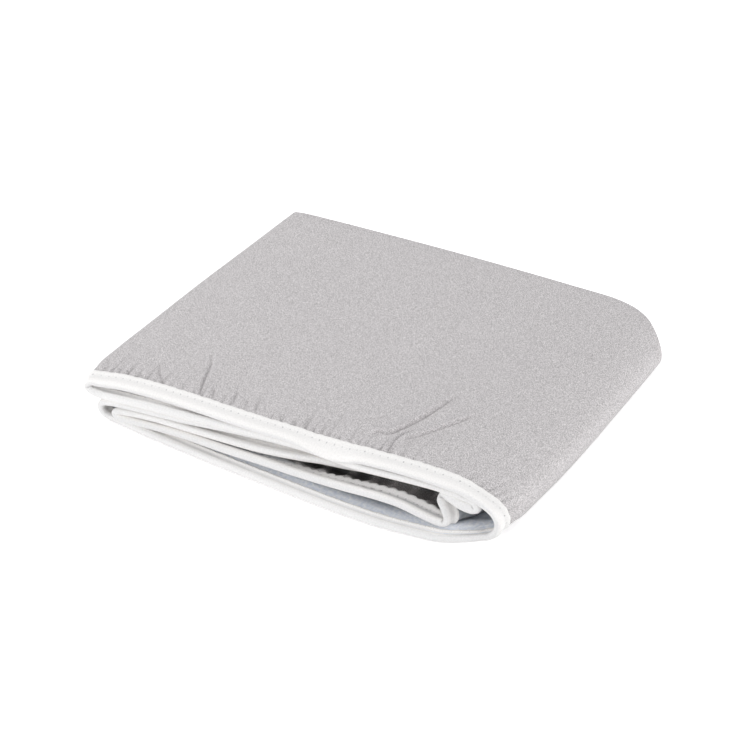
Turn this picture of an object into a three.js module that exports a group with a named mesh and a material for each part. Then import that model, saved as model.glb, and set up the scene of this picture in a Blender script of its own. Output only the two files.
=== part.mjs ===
// Folded ironing pad: a padded cover with a bound rim, laid flat on its side and folded in three.
// Millimetres, +Z up, +X along the front to the right, bound rim towards -Y, origin under the middle.
import * as THREE from 'three';

// Layers of the pad
const CLOTH = 0.4;
const FELT = 2.9;
const LAYER_CLEARANCE = 0.15;

// Folded size over everything
const FOLDED_WIDTH = 354;
const FOLDED_DEPTH = 319;

// Rim binding and its row of stitches
const TAPE_WIDTH = 11;
const THREAD = 0.44;
const TAPE_UNDER_STITCH = 0.21;
const STITCH_INSET = 6;
const GROOVE_HALF_WIDTH = 0.9;
const EDGE_ROUND = 1.4;
const STRIP_MARGIN = 1.5;

// Gaps between neighbouring plies along the rim, at the left end and at the right end
const LOW_FELT_GAP_LEFT = 0.6;
const LOW_FELT_GAP_RIGHT = 6;
const LOW_LAP_GAP_LEFT = 0.4;
const LOW_LAP_GAP_RIGHT = 1.5;
const MID_FELT_GAP_LEFT = 0.4;
const MID_FELT_GAP_RIGHT = 0.6;
const HIGH_LAP_GAP_LEFT = 0.4;
const HIGH_LAP_GAP_RIGHT = 1;
const TOP_FELT_GAP_LEFT = 3;
const TOP_FELT_GAP_RIGHT = 0.8;
const RIM_CROWN = 2;
const FLOOR_SETTLE = 40;

// Gaps between plies at the pressed fold along the back
const BACK_FELT_GAP = 0.6;
const BACK_LAP_GAP = 1.4;
const BACK_CROWN = 4;

// How far the folds stand in from the overall width, at the rim and at the back
const TOP_END_INSET_BACK = 11;
const LOW_FOLD_INSET_RIM = 9;
const LOW_FOLD_INSET_BACK = 12;
const RIGHT_FOLD_INSET_BACK = 3;
const INNER_LEFT_FOLD_SETBACK = 8;
const INNER_RIGHT_FOLD_SETBACK = 36;
const INNER_END_SETBACK_RIM = 32;
const INNER_END_SETBACK_BACK = 9;

// Plan shape of the rim: each ply stands forward of the top ply, and the middle panel draws back
const FLOOR_PLY_FORWARD = 19;
const LOW_INNER_FORWARD = 10;
const MID_INNER_FORWARD = 4;
const MID_OUTER_FORWARD = 2;
const FORWARD_CENTRE = 45;
const FORWARD_REACH = 205;
const MID_PANEL_DRAWBACK = 35;

// Facets
const RUN_STEPS = 4;
const FOLD_STEPS = 8;
const BODY_ROWS = [0.25, 0.6, 1];
const BACK_FOLD_STEPS = 3;
const NOSE_STEPS = 3;

// Derived sizes
const THREAD_RADIUS = THREAD / 2;
const GROOVE_DEPTH = THREAD + LAYER_CLEARANCE;
const TAPE = GROOVE_DEPTH + TAPE_UNDER_STITCH;
const PLY = CLOTH + LAYER_CLEARANCE + FELT;
const RIM_PLY = PLY + 2 * (LAYER_CLEARANCE + TAPE);
const STRIP_ROW = TAPE_WIDTH + STRIP_MARGIN;
const NOSE = EDGE_ROUND + LAYER_CLEARANCE + TAPE;
const RIGHT_SIDE = FOLDED_WIDTH / 2;
const LEFT_SIDE = -FOLDED_WIDTH / 2;
const TOP_EDGE_Y = -FOLDED_DEPTH / 2 + FLOOR_PLY_FORWARD + NOSE;
const OPEN_FROM_Y = TOP_EDGE_Y + STRIP_ROW;
const BACK_FOLD_RADIUS = BACK_FELT_GAP / 2 + PLY;
const BACK_SIDE_Y = FOLDED_DEPTH / 2 - BACK_CROWN;
const FLOOR_SETTLE_SHARE = FLOOR_SETTLE / (BACK_SIDE_Y - BACK_FOLD_RADIUS - OPEN_FROM_Y);

// The six plies from the floor up, with the gaps below each one
const PLY_NAMES = ['lowOuter', 'lowInner', 'midInner', 'midOuter', 'topInner', 'topOuter'];
const GAPS_LEFT = [
  0,
  LOW_FELT_GAP_LEFT,
  LOW_LAP_GAP_LEFT,
  MID_FELT_GAP_LEFT,
  HIGH_LAP_GAP_LEFT,
  TOP_FELT_GAP_LEFT,
];
const GAPS_RIGHT = [
  0,
  LOW_FELT_GAP_RIGHT,
  LOW_LAP_GAP_RIGHT,
  MID_FELT_GAP_RIGHT,
  HIGH_LAP_GAP_RIGHT,
  TOP_FELT_GAP_RIGHT,
];
const GAPS_BACK = [0, BACK_FELT_GAP, BACK_LAP_GAP, BACK_FELT_GAP, BACK_LAP_GAP, BACK_FELT_GAP];

const FORWARD = {
  lowOuter: FLOOR_PLY_FORWARD,
  lowInner: LOW_INNER_FORWARD,
  midInner: MID_INNER_FORWARD,
  midOuter: MID_OUTER_FORWARD,
  topInner: 0,
  topOuter: 0,
};
const DRAWBACK = {
  lowOuter: 0,
  lowInner: 0,
  midInner: MID_PANEL_DRAWBACK,
  midOuter: MID_PANEL_DRAWBACK,
  topInner: 0,
  topOuter: 0,
};

const mix = (a, b, t) => a + (b - a) * t;
const clamp01 = (t) => Math.min(1, Math.max(0, t));

// Mid-heights of the stacked plies for one thickness and one set of gaps
function stackHeights(thickness, gaps) {
  const heights = {};
  let z = -thickness / 2;
  PLY_NAMES.forEach((name, i) => {
    z += thickness + gaps[i];
    heights[name] = z;
  });
  return heights;
}
const RIM_LEFT = stackHeights(RIM_PLY, GAPS_LEFT);
const RIM_RIGHT = stackHeights(RIM_PLY, GAPS_RIGHT);
const BACK = stackHeights(PLY, GAPS_BACK);

// Height of a ply at a place along the front, for a share of the way from the rim to the back
function plyHeight(name, along, share) {
  const atBack = name === 'lowOuter' ? clamp01(share / FLOOR_SETTLE_SHARE) : share;
  const crown = name === 'lowOuter' ? 0 : RIM_CROWN * 4 * along * (1 - along);
  return mix(mix(RIM_LEFT[name], RIM_RIGHT[name], along) + crown, BACK[name], atBack);
}

// Centre and radius of the fold that joins two plies
function foldBetween(upper, lower, along, share) {
  const top = plyHeight(upper, along, share);
  const bottom = plyHeight(lower, along, share);
  return { z: (top + bottom) / 2, radius: (top - bottom) / 2 };
}

// Where each fold's centre lies along the front
function foldCentres(share) {
  const half = mix(RIM_PLY, PLY, share) / 2;
  const topEnd = foldBetween('topOuter', 'topInner', 0, share).radius + half;
  const lowFold = foldBetween('midOuter', 'lowOuter', 0, share).radius + half;
  const rightFold = foldBetween('topOuter', 'lowOuter', 1, share).radius + half;
  const leftOuter = LEFT_SIDE + mix(LOW_FOLD_INSET_RIM, LOW_FOLD_INSET_BACK, share) + lowFold;
  const rightOuter = RIGHT_SIDE - mix(0, RIGHT_FOLD_INSET_BACK, share) - rightFold;
  const rightInner = rightOuter - mix(INNER_RIGHT_FOLD_SETBACK, 0, share);
  return {
    topEnd: LEFT_SIDE + mix(0, TOP_END_INSET_BACK, share) + topEnd,
    leftOuter,
    leftInner: leftOuter + mix(INNER_LEFT_FOLD_SETBACK, 0, share),
    rightOuter,
    rightInner,
    innerEnd: rightInner - mix(INNER_END_SETBACK_RIM, INNER_END_SETBACK_BACK, share),
  };
}

// The rim loop in order: straight runs of each ply and the folds between them.
// A fold's turn is +1 where the silver face is outside it and -1 where the felt is outside.
const LOOP = [
  { run: 'topOuter', from: 'topEnd', to: 'rightOuter', up: 1 },
  { fold: ['topOuter', 'lowOuter'], at: 'rightOuter', side: 1, down: true, turn: 1 },
  { run: 'lowOuter', from: 'rightOuter', to: 'leftOuter', up: -1 },
  { fold: ['midOuter', 'lowOuter'], at: 'leftOuter', side: -1, down: false, turn: 1 },
  { run: 'midOuter', from: 'leftOuter', to: 'innerEnd', up: 1 },
  { fold: ['midOuter', 'midInner'], at: 'innerEnd', side: 1, down: true, turn: 1 },
  { run: 'midInner', from: 'innerEnd', to: 'leftInner', up: -1 },
  { fold: ['midInner', 'lowInner'], at: 'leftInner', side: -1, down: true, turn: -1 },
  { run: 'lowInner', from: 'leftInner', to: 'rightInner', up: 1 },
  { fold: ['topInner', 'lowInner'], at: 'rightInner', side: 1, down: false, turn: -1 },
  { run: 'topInner', from: 'rightInner', to: 'topEnd', up: -1 },
  { fold: ['topOuter', 'topInner'], at: 'topEnd', side: -1, down: false, turn: 1 },
];

// One entry for each vertex of the loop: the piece it lies on and how far along that piece
const STATIONS = LOOP.flatMap((piece) => {
  const steps = piece.run ? RUN_STEPS : FOLD_STEPS;
  return Array.from({ length: steps }, (_, i) => ({ piece, t: i / steps }));
});
const COUNT = STATIONS.length;

// Each outer-wrap vertex faces the inner-wrap vertex on the other side of the same panel
const INNER_END_APEX = 3 * RUN_STEPS + 2 * FOLD_STEPS + FOLD_STEPS / 2;
const partnerOf = (i) => (2 * INNER_END_APEX - i + 2 * COUNT) % COUNT;

const LEVEL_LEFT = LEFT_SIDE + LOW_FOLD_INSET_RIM;
const LEVEL_SPAN = RIGHT_SIDE - LEVEL_LEFT;
const alongFront = (x) => clamp01((x - LEVEL_LEFT) / LEVEL_SPAN);

// A vertex of the loop, moved off the middle of its ply towards the silver face by an offset
function loopPoint(station, share, offset) {
  const { piece, t } = station;
  const centres = foldCentres(share);
  if (piece.run) {
    const x = mix(centres[piece.from], centres[piece.to], t);
    const z = plyHeight(piece.run, alongFront(x), share);
    return { x, z: z + piece.up * offset };
  }
  const x = centres[piece.at];
  const fold = foldBetween(piece.fold[0], piece.fold[1], alongFront(x), share);
  const quarter = Math.PI / 2;
  const angle = piece.down ? quarter - t * Math.PI : t * Math.PI - quarter;
  const radius = fold.radius + piece.turn * offset;
  return {
    x: x + piece.side * radius * Math.cos(angle),
    z: fold.z + radius * Math.sin(angle),
  };
}

// Front edge of the pad at a vertex, seen from above
function edgeY(station) {
  const { piece, t } = station;
  const x = loopPoint(station, 0, 0).x;
  const bulge = Math.max(0, 1 - ((x - FORWARD_CENTRE) / FORWARD_REACH) ** 2);
  const plies = piece.fold ?? [piece.run, piece.run];
  const [first, last] = piece.down ? plies : [plies[1], plies[0]];
  const forward = mix(FORWARD[first], FORWARD[last], t);
  const drawback = mix(DRAWBACK[first], DRAWBACK[last], t);
  return TOP_EDGE_Y - forward * bulge + drawback * alongFront(x) ** 2;
}

// Line where the back fold begins to turn
function backTurnY(x) {
  return BACK_SIDE_Y + BACK_CROWN * (1 - (x / RIGHT_SIDE) ** 2) - BACK_FOLD_RADIUS;
}

const shareAt = (y, turnY) => clamp01((y - OPEN_FROM_Y) / (turnY - OPEN_FROM_Y));

// A point of the pad: a loop vertex, a distance in from the rim and an offset from mid-ply
function padPoint(station, inset, offset) {
  const turnY = backTurnY(loopPoint(station, 1, 0).x);
  const y = edgeY(station) + inset;
  const { x, z } = loopPoint(station, shareAt(y, turnY), offset);
  return [x, y, z];
}

// Rows of points for one face of the pad, from the rim to the closed fold along the back
function faceRows(offset) {
  const rows = [0, STRIP_ROW].map((inset) => STATIONS.map((s) => padPoint(s, inset, offset)));
  for (const share of BODY_ROWS) {
    rows.push(STATIONS.map((s) => {
      const turnY = backTurnY(loopPoint(s, 1, 0).x);
      const start = edgeY(s) + STRIP_ROW;
      return padPoint(s, mix(start, turnY, share) - edgeY(s), offset);
    }));
  }
  const last = rows[rows.length - 1];
  for (let step = 1; step <= BACK_FOLD_STEPS; step += 1) {
    const angle = (step / BACK_FOLD_STEPS) * Math.PI / 2;
    const depth = (BACK_FELT_GAP + PLY) / 2 + offset;
    rows.push(last.map((p, i) => {
      const q = last[partnerOf(i)];
      const middle = p.map((v, axis) => (v + q[axis]) / 2);
      const squeeze = Math.cos(angle);
      const y = middle[1] + depth * Math.sin(angle);
      return [mix(middle[0], p[0], squeeze), y, mix(middle[2], p[2], squeeze)];
    }));
  }
  return rows;
}

// Collects points and triangles, and gives a closed three.js geometry
class Skin {
  constructor() {
    this.points = [];
    this.faces = [];
  }

  ring(points) {
    const start = this.points.length;
    this.points.push(...points);
    return points.map((_, i) => start + i);
  }

  // The closing ring, where the two plies of a panel share their points
  seam(points) {
    const indices = [];
    points.forEach((p, i) => {
      const partner = partnerOf(i);
      if (partner < i) {
        indices.push(indices[partner]);
        return;
      }
      indices.push(this.points.length);
      this.points.push(p);
    });
    return indices;
  }

  // Faces between two rings; their front is on the left of the first ring's way unless they face inward
  band(first, second, inward = false) {
    for (let i = 0; i < COUNT; i += 1) {
      const j = (i + 1) % COUNT;
      this.triangle(first[i], first[j], second[j], inward);
      this.triangle(first[i], second[j], second[i], inward);
    }
  }

  triangle(a, b, c, inward) {
    if (a === b || b === c || c === a) return;
    this.faces.push(a, ...(inward ? [c, b] : [b, c]));
  }

  geometry() {
    const geometry = new THREE.BufferGeometry();
    geometry.setAttribute('position', new THREE.Float32BufferAttribute(this.points.flat(), 3));
    geometry.setIndex(this.faces);
    geometry.computeVertexNormals();
    return geometry;
  }
}

// One layer of the pouch between two offsets, with a rounded front edge where asked
function pouchLayer(outerOffset, innerOffset, edgeRound) {
  const skin = new Skin();
  const addFace = (offset) => {
    const rows = faceRows(offset);
    const closing = rows.pop();
    return [...rows.map((row) => skin.ring(row)), skin.seam(closing)];
  };
  const outer = addFace(outerOffset);
  const inner = addFace(innerOffset);
  for (let r = 0; r + 1 < outer.length; r += 1) {
    skin.band(outer[r], outer[r + 1]);
    skin.band(inner[r], inner[r + 1], true);
  }
  if (edgeRound > 0) {
    const nose = skin.ring(STATIONS.map((s) => padPoint(s, -edgeRound, 0)));
    skin.band(inner[0], nose);
    skin.band(nose, outer[0]);
  } else {
    skin.band(inner[0], outer[0]);
  }
  return skin.geometry();
}

// A closed section, in distance from the rim edge and offset from mid-ply, swept round the rim
function rimSweep(section) {
  const skin = new Skin();
  const rings = section.map(([inset, offset]) => {
    return skin.ring(STATIONS.map((s) => padPoint(s, inset, offset)));
  });
  rings.forEach((ring, i) => skin.band(rings[(i + 1) % rings.length], ring));
  return skin.geometry();
}

const FACE_OUTER = PLY / 2;
const FELT_OUTER = PLY / 2 - CLOTH - LAYER_CLEARANCE;
const STRIP_INNER = PLY / 2 + LAYER_CLEARANCE;
const STRIP_OUTER = STRIP_INNER + TAPE;

// Half a rim round the bound edge, from the felt side to the face side
function noseArc(halfHeight, reach, steps) {
  return Array.from({ length: steps - 1 }, (_, i) => {
    const angle = ((i + 1) / steps) * Math.PI - Math.PI / 2;
    return [-reach * Math.cos(angle), halfHeight * Math.sin(angle)];
  });
}

// Groove pressed into the tape by the row of stitches
function stitchGroove(face) {
  return [
    [STITCH_INSET - GROOVE_HALF_WIDTH, face * STRIP_OUTER],
    [STITCH_INSET, face * (STRIP_OUTER - GROOVE_DEPTH)],
    [STITCH_INSET + GROOVE_HALF_WIDTH, face * STRIP_OUTER],
  ];
}

// Folded tape over the raw edge: two flat strips, joined round the edge
function bindingSection() {
  return [
    [0, -STRIP_OUTER],
    ...stitchGroove(-1),
    [TAPE_WIDTH, -STRIP_OUTER],
    [TAPE_WIDTH, -STRIP_INNER],
    [0, -STRIP_INNER],
    ...noseArc(STRIP_INNER, EDGE_ROUND + LAYER_CLEARANCE, 2),
    [0, STRIP_INNER],
    [TAPE_WIDTH, STRIP_INNER],
    [TAPE_WIDTH, STRIP_OUTER],
    ...stitchGroove(1).reverse(),
    [0, STRIP_OUTER],
    ...noseArc(STRIP_OUTER, NOSE, NOSE_STEPS).reverse(),
  ];
}

// Thread lying in the groove of one strip
function threadSection(face) {
  const middle = face * (STRIP_OUTER - THREAD_RADIUS);
  return [
    [STITCH_INSET + THREAD_RADIUS, middle],
    [STITCH_INSET, middle + THREAD_RADIUS],
    [STITCH_INSET - THREAD_RADIUS, middle],
    [STITCH_INSET, middle - THREAD_RADIUS],
  ];
}

function piece(name, geometry, color, roughness, metalness) {
  const material = new THREE.MeshStandardMaterial({ color, roughness, metalness });
  const mesh = new THREE.Mesh(geometry, material);
  mesh.name = name;
  return mesh;
}

const pad = new THREE.Group();
pad.name = 'ironing_pad';
pad.add(piece('face_cloth', pouchLayer(FACE_OUTER, FACE_OUTER - CLOTH, 0), 0xc4c0c1, 0.55, 0.35));
pad.add(piece('felt_padding', pouchLayer(FELT_OUTER, -PLY / 2, EDGE_ROUND), 0xdfe2ea, 0.95, 0));
pad.add(piece('edge_binding', rimSweep(bindingSection()), 0xf3f1ee, 0.85, 0));
pad.add(piece('needle_thread', rimSweep(threadSection(1)), 0xf6f5f2, 0.7, 0));
pad.add(piece('bobbin_thread', rimSweep(threadSection(-1)), 0xf6f5f2, 0.7, 0));

export default pad;
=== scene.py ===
# %% [markdown]
# # A folded ironing pad
#
# A padded ironing cover is a limp thing: a silver face cloth, a felt backing and a white tape
# that binds the edge of both. This one has been flattened sideways and folded in three, like a
# letter, so that its one bound rim runs up and down through six plies at the front.
#
# The rim is built first, and everything else hangs from it. Lengths are in millimetres until a mesh
# is made.

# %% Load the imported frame
import math
from functools import partial

import bmesh
import bpy
import numpy as np
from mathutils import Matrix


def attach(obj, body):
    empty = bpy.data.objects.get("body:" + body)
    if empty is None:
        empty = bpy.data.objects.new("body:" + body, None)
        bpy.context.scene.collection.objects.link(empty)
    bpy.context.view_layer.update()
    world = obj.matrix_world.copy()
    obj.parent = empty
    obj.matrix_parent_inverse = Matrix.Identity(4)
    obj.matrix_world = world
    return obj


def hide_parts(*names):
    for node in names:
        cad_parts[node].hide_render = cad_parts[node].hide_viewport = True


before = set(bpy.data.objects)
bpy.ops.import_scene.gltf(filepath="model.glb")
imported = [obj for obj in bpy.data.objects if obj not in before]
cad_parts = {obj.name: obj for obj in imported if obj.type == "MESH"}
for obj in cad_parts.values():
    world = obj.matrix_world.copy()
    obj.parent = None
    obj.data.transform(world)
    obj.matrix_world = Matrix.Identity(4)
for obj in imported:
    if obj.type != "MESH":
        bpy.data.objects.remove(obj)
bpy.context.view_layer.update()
scene = bpy.context.scene
scene.view_settings.view_transform = "Standard"
MM = 0.001
print("nodes:", sorted(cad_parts))

# %% [markdown]
# ## Camera
#
# The photograph is taken from the front right and above, with a long lens, which keeps the far edge
# of the pad nearly as wide as the near one.

# %% Camera at the photograph's angle
CAMERA_AZIMUTH = 28.65
CAMERA_ELEVATION = 33.89
CAMERA_PLACE = (0.7214, -1.3351, 1.0285)
FOCAL_LENGTH = 115.2
SENSOR_WIDTH = 36.0

camera_lens = bpy.data.cameras.new("camera")
camera_lens.lens = FOCAL_LENGTH
camera_lens.sensor_width = SENSOR_WIDTH
camera = bpy.data.objects.new("camera", camera_lens)
camera.location = CAMERA_PLACE
camera.rotation_euler = (math.radians(90 - CAMERA_ELEVATION), 0, math.radians(CAMERA_AZIMUTH))
scene.collection.objects.link(camera)
scene.camera = camera
print("camera", CAMERA_AZIMUTH, CAMERA_ELEVATION)

# %% [markdown]
# ## The rim as one closed line
#
# Follow the white edge with a finger: along the top ply to the right, down round the roomy wrap,
# back along the floor, up the left bight, along the middle panel and back, round the inner left
# bight, along the lower ply, up through a small pleat, and back under the top ply to the start.
#
# Each leg is a few points: place along the front, reach in front of the top edge, and height of
# the middle of the ply. A cloth simulation could fold a flat cover instead, but its plies would not
# lie where the photograph shows them.

# %% Front shape of the rim
EDGE_Y = -138.15
FRONT = {
    "top_outer": [
        (-166, 1, 29.8), (-148, 1, 32.9), (-120, 0, 34.1), (-93, 0, 34.5),
        (-58, 0.2, 34.3), (-25, 0.5, 34.4), (0, 0.5, 34.6), (13, 0.8, 32.6), (25, 0.8, 30),
        (35, 0.6, 29.7), (44, 0.3, 31.4), (54, 0, 34.8), (72, 0, 36.9), (88, 0, 37.8),
        (104, 0, 38.1), (119, 0, 37.7),
    ],
    "right_wrap": [
        (135, -0.5, 36.2), (149.5, -1, 31.5), (159, -2, 25), (162.5, -3, 17),
        (161.5, -3.5, 9.5), (157, -3, 4.3),
    ],
    "low_outer": [
        (151, -0.5, 2.8), (145.5, 4, 2.8), (127, 14.2, 2.8), (113, 16.7, 2.8), (83, 19.7, 2.8),
        (51, 19.7, 2.8), (17, 17.7, 2.8), (-20, 15, 2.8), (-54, 12.4, 2.8), (-90, 9, 2.8),
        (-118, 6.2, 2.8), (-145, 2.6, 2.8),
    ],
    "left_outer": [(-157, 0.9, 2.6), (-163, 0.8, 4.9), (-165.4, 1, 9.6), (-162.6, 1.6, 14.6)],
    "mid_outer": [
        (-156, 2.2, 17.1), (-147, 2.8, 18.7), (-119, 1.8, 20.5), (-92, 1.2, 22.2),
        (-58, -1.5, 24.4), (-27, -4.8, 24.9), (4, -7.8, 24.7), (40, -13, 23.6), (70, -21, 23.4),
    ],
    "inner_end": [(88, -27, 22.6), (92, -28, 21.6), (93.4, -28.3, 20), (92, -28, 18.4)],
    "mid_inner": [
        (88, -27, 17.5), (66, -19, 18.3), (50, -12.5, 18.8), (38, -9, 19.5), (21, -5.4, 20.3),
        (6, -2.2, 19.9), (-25, 1.3, 18.4), (-60, 1.5, 16.7), (-93, 0.3, 14.8), (-120, 0, 13.6),
    ],
    "left_inner": [(-145, 1.2, 11.6), (-149.6, 1.6, 10.8), (-152, 2, 8.9), (-149.6, 2.6, 7)],
    "low_inner": [
        (-145, 3.2, 6.6), (-120, 2.3, 7.6), (-93, 3, 9.5), (-58, 6.2, 11.6), (-23, 7, 12.4),
        (11, 8.5, 13.7), (45, 9.5, 15.5), (76, 10, 17.7), (92, 9.3, 16.7), (109, 8.5, 12.9),
    ],
    "pleat": [
        (120, 7.4, 10.3), (125.8, 6.2, 10.6), (126.6, 4.5, 13.2), (122.6, 1, 17.6),
        (117.6, -2.5, 22.4), (118.6, -4.5, 25.2), (125, -3.8, 25.6), (135, -1, 25),
        (143, -0.5, 25.1), (146, -1, 26.4), (144, -2, 27.7), (135, -2.8, 28),
    ],
    "top_inner": [
        (127, -4.5, 29.2), (117, -4, 30.4), (104, -2, 31.7), (72, 0, 30.9), (56, 0, 29.6),
        (40, -3.6, 26.6), (26, -4.6, 26.6), (6, -2.4, 29.2), (-25, -0.6, 29.5), (-60, 1.8, 29.1),
        (-94, 5.2, 29), (-118, 6.6, 28.5), (-146, 6.8, 26.2),
    ],
    "left_top": [(-164, 5, 23.5), (-171, 4.2, 23.8), (-174.8, 2.8, 26.4), (-172.4, 1.4, 28.9)],
}
LEGS = list(FRONT)
print("rim legs", len(LEGS), "drawn with", sum(len(leg) for leg in FRONT.values()), "points")

# %% [markdown]
# ## The back of the pad
#
# At the back the same line is a stack of flat plies with round folds between them, and a fold along
# the keel joins the two plies of a panel. The photograph hides it, so half circles and straight runs do.

# %% Back shape of the rim
PLY = 3.45
BACK_HEIGHT = {
    "low_outer": 1.73, "low_inner": 5.78, "mid_inner": 10.63,
    "mid_outer": 14.68, "top_inner": 19.53, "top_outer": 23.58,
}
BACK_FOLD_X = {
    "right_wrap": 165.2, "left_outer": -156.8, "inner_end": 152.3,
    "left_inner": -156.8, "pleat": 161.3, "left_top": -166.4,
}


def ends_of(leg, values):
    """The values of the legs before and after this one."""
    i = LEGS.index(leg)
    return values[LEGS[i - 1]], values[LEGS[(i + 1) % len(LEGS)]]


def half_turn(leg, steps=6):
    """Points of a round fold at the back, between the plies before and after."""
    x = BACK_FOLD_X[leg]
    first, last = ends_of(leg, BACK_HEIGHT)
    middle, radius = (first + last) / 2, (first - last) / 2
    bulge = math.copysign(radius, x)
    angles = np.arange(steps) * math.pi / steps
    return [(x + bulge * math.sin(a), 0, middle + radius * math.cos(a)) for a in angles]


def straight_run(leg, steps=4):
    """Points of a flat ply at the back, between the folds at its two ends."""
    start, end = ends_of(leg, BACK_FOLD_X)
    return [(start + (end - start) * k / steps, 0, BACK_HEIGHT[leg]) for k in range(steps)]


BACK = {leg: half_turn(leg) if leg in BACK_FOLD_X else straight_run(leg) for leg in LEGS}
print("plies at the back", len(BACK_HEIGHT), "folds", len(BACK_FOLD_X))

# %% [markdown]
# ## A smooth line through the points
#
# Cloth has no corners, so a closed spline joins the points. Its tangents weigh the distances
# between them, which keeps tight bights from overshooting. Blender's curves could do it too, but
# the samples are needed as numbers: the same step at front and back is the same thread of cloth.

# %% Smooth closed lines
# Points on each leg at density 1: most on the legs that show most.
LEG_STEPS = {
    "top_outer": 330, "right_wrap": 56, "low_outer": 100, "left_outer": 16, "mid_outer": 52,
    "inner_end": 12, "mid_inner": 52, "left_inner": 16, "low_inner": 100, "pleat": 56,
    "top_inner": 330, "left_top": 20,
}


def closed_spline(points, per_span=24):
    """A smooth closed curve through the points, as one row of samples for each span."""
    p1 = np.asarray(points, float)
    p0, p2, p3 = np.roll(p1, 1, 0), np.roll(p1, -1, 0), np.roll(p1, -2, 0)
    d01, d12, d23 = (
        np.sqrt(np.linalg.norm(b - a, axis=1, keepdims=True)) for a, b in ((p0, p1), (p1, p2), (p2, p3))
    )
    m1 = d12 * ((p1 - p0) / d01 - (p2 - p0) / (d01 + d12) + (p2 - p1) / d12)
    m2 = d12 * ((p2 - p1) / d12 - (p3 - p1) / (d12 + d23) + (p3 - p2) / d23)
    t = (np.arange(per_span) / per_span)[None, :, None]
    a, b, c, d = p1[:, None], m1[:, None], p2[:, None], m2[:, None]
    return (
        a * (2 * t**3 - 3 * t**2 + 1) + b * (t**3 - 2 * t**2 + t)
        + c * (3 * t**2 - 2 * t**3) + d * (t**3 - t**2)
    )


def along_legs(shape, density):
    """Evenly spaced points on each leg of a closed shape, in order round the rim."""
    spans = closed_spline([p for leg in LEGS for p in shape[leg]])
    rows, start = [], 0
    for leg in LEGS:
        stop = start + len(shape[leg])
        line = spans[start:stop].reshape(-1, 3)
        line = np.vstack([line, spans[stop % len(spans), 0]])
        length = np.concatenate([[0], np.cumsum(np.linalg.norm(np.diff(line, axis=0), axis=1))])
        steps = round(LEG_STEPS[leg] * density)
        places = np.arange(steps) / steps * length[-1]
        rows.append(np.stack([np.interp(places, length, line[:, k]) for k in range(3)], axis=1))
        start = stop
    return np.vstack(rows)


print("steps round the rim", len(along_legs(BACK, 1.0)))

# %% [markdown]
# ## From the rim to the back
#
# A ply runs straight back from the rim, and on the way the section changes from the front shape to
# the back shape. The pleat opens out at once, and the top ply falls evenly. An ease for each leg
# says how fast. A plain loft between two curves would change everything at one pace.

# %% How each leg changes on its way back
# Ease in place and in height: 1 is even all the way, more is sooner.
EASE = {
    "top_outer": (1, 1), "right_wrap": (3.6, 1.2), "low_outer": (1.5, 12),
    "left_outer": (1, 1), "mid_outer": (1.5, 1.5), "inner_end": (3, 1.5),
    "mid_inner": (1.5, 1.5), "left_inner": (1, 1), "low_inner": (2, 3),
    "pleat": (4.6, 3), "top_inner": (1.5, 1.3), "left_top": (0.6, 1),
}
EASE_WINDOW = 30
# The padding swells behind the tight seam, sideways and up.
LOFT = {"top_outer": (0.0, 4.2), "left_top": (-7.2, 2.6), "right_wrap": (1.6, 0.0)}
LOFT_LENGTH = 8.0
BULGE_LENGTH = 15.0
# A ply keeps its true depth near the rim, and reaches the keel at full depth.
EVEN_DEPTH = 25.0
FULL_DEPTH = 290.0
# The back edge is a little bowed, and its right corner is drawn in.
BACK_SIDE_Y = 151.7
BACK_CROWN = 5.0
HALF_WIDTH = 172.0
CORNER_FROM_X = 100.0
CORNER_DRAW = 33.0
CORNER_LIMIT = 1.2
print("depth of a ply", FULL_DEPTH)

# %% [markdown]
# Four slack places: the top rim dips in one spot, the lower ply sags into a dark pocket, the tape
# before that pocket tips over, and the floor ply rises behind its tape.

# %% Slack places
DIP_X = 32.0
DIP_WIDTH = 19.0
DIP_DEPTH = 7.0
DIP_LENGTH = 5.0
SAG = {"low_inner": 7.0, "pleat": 2.0}
SAG_START_X = -40.0
SAG_SPREAD = 60.0
SAG_FROM = 10.0
SAG_LENGTH = 16.0
TILT_X = 12.0
TILT_WIDTH = 26.0
TILT_DROP = 2.0
TILT_LENGTH = 11.0
RISE = 4.0
RISE_X = (-150.0, -60.0, 112.0, 136.0)
RISE_SHARE = (0.0, 0.6, 0.65, 1.0)
RISE_DEPTH = (2.0, 15.0, 30.0)
RISE_BELOW_Z = 12.0
RISE_FADE = 8.0


def ramp(value, start, length):
    """0 up to the start, then evenly up to 1 over the length."""
    return np.clip((value - start) / length, 0, 1)


def bell(distance, width):
    """1 in the middle, and down to nothing on both sides."""
    return np.exp(-((distance / width) ** 2))


def die_away(distance, length):
    """1 up to the start, then less and less."""
    return np.exp(-np.maximum(distance, 0) / length)


def smooth_step(share):
    """Eases a share between 0 and 1 at both ends."""
    return share * share * (3 - 2 * share)


def smooth_round(values, width):
    """A moving average round a closed row of values."""
    kernel = np.hanning(width + 2)[1:-1]
    kernel = kernel / kernel.sum()
    padded = np.concatenate([values[-width:], values, values[:width]])
    return np.convolve(padded, kernel, "same")[width:-width]


print("dip", DIP_DEPTH, "sag", max(SAG.values()))

# %% [markdown]
# Cloth, felt and tape need different densities of points, and still follow one middle surface.

# %% The middle surface of the pad


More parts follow.
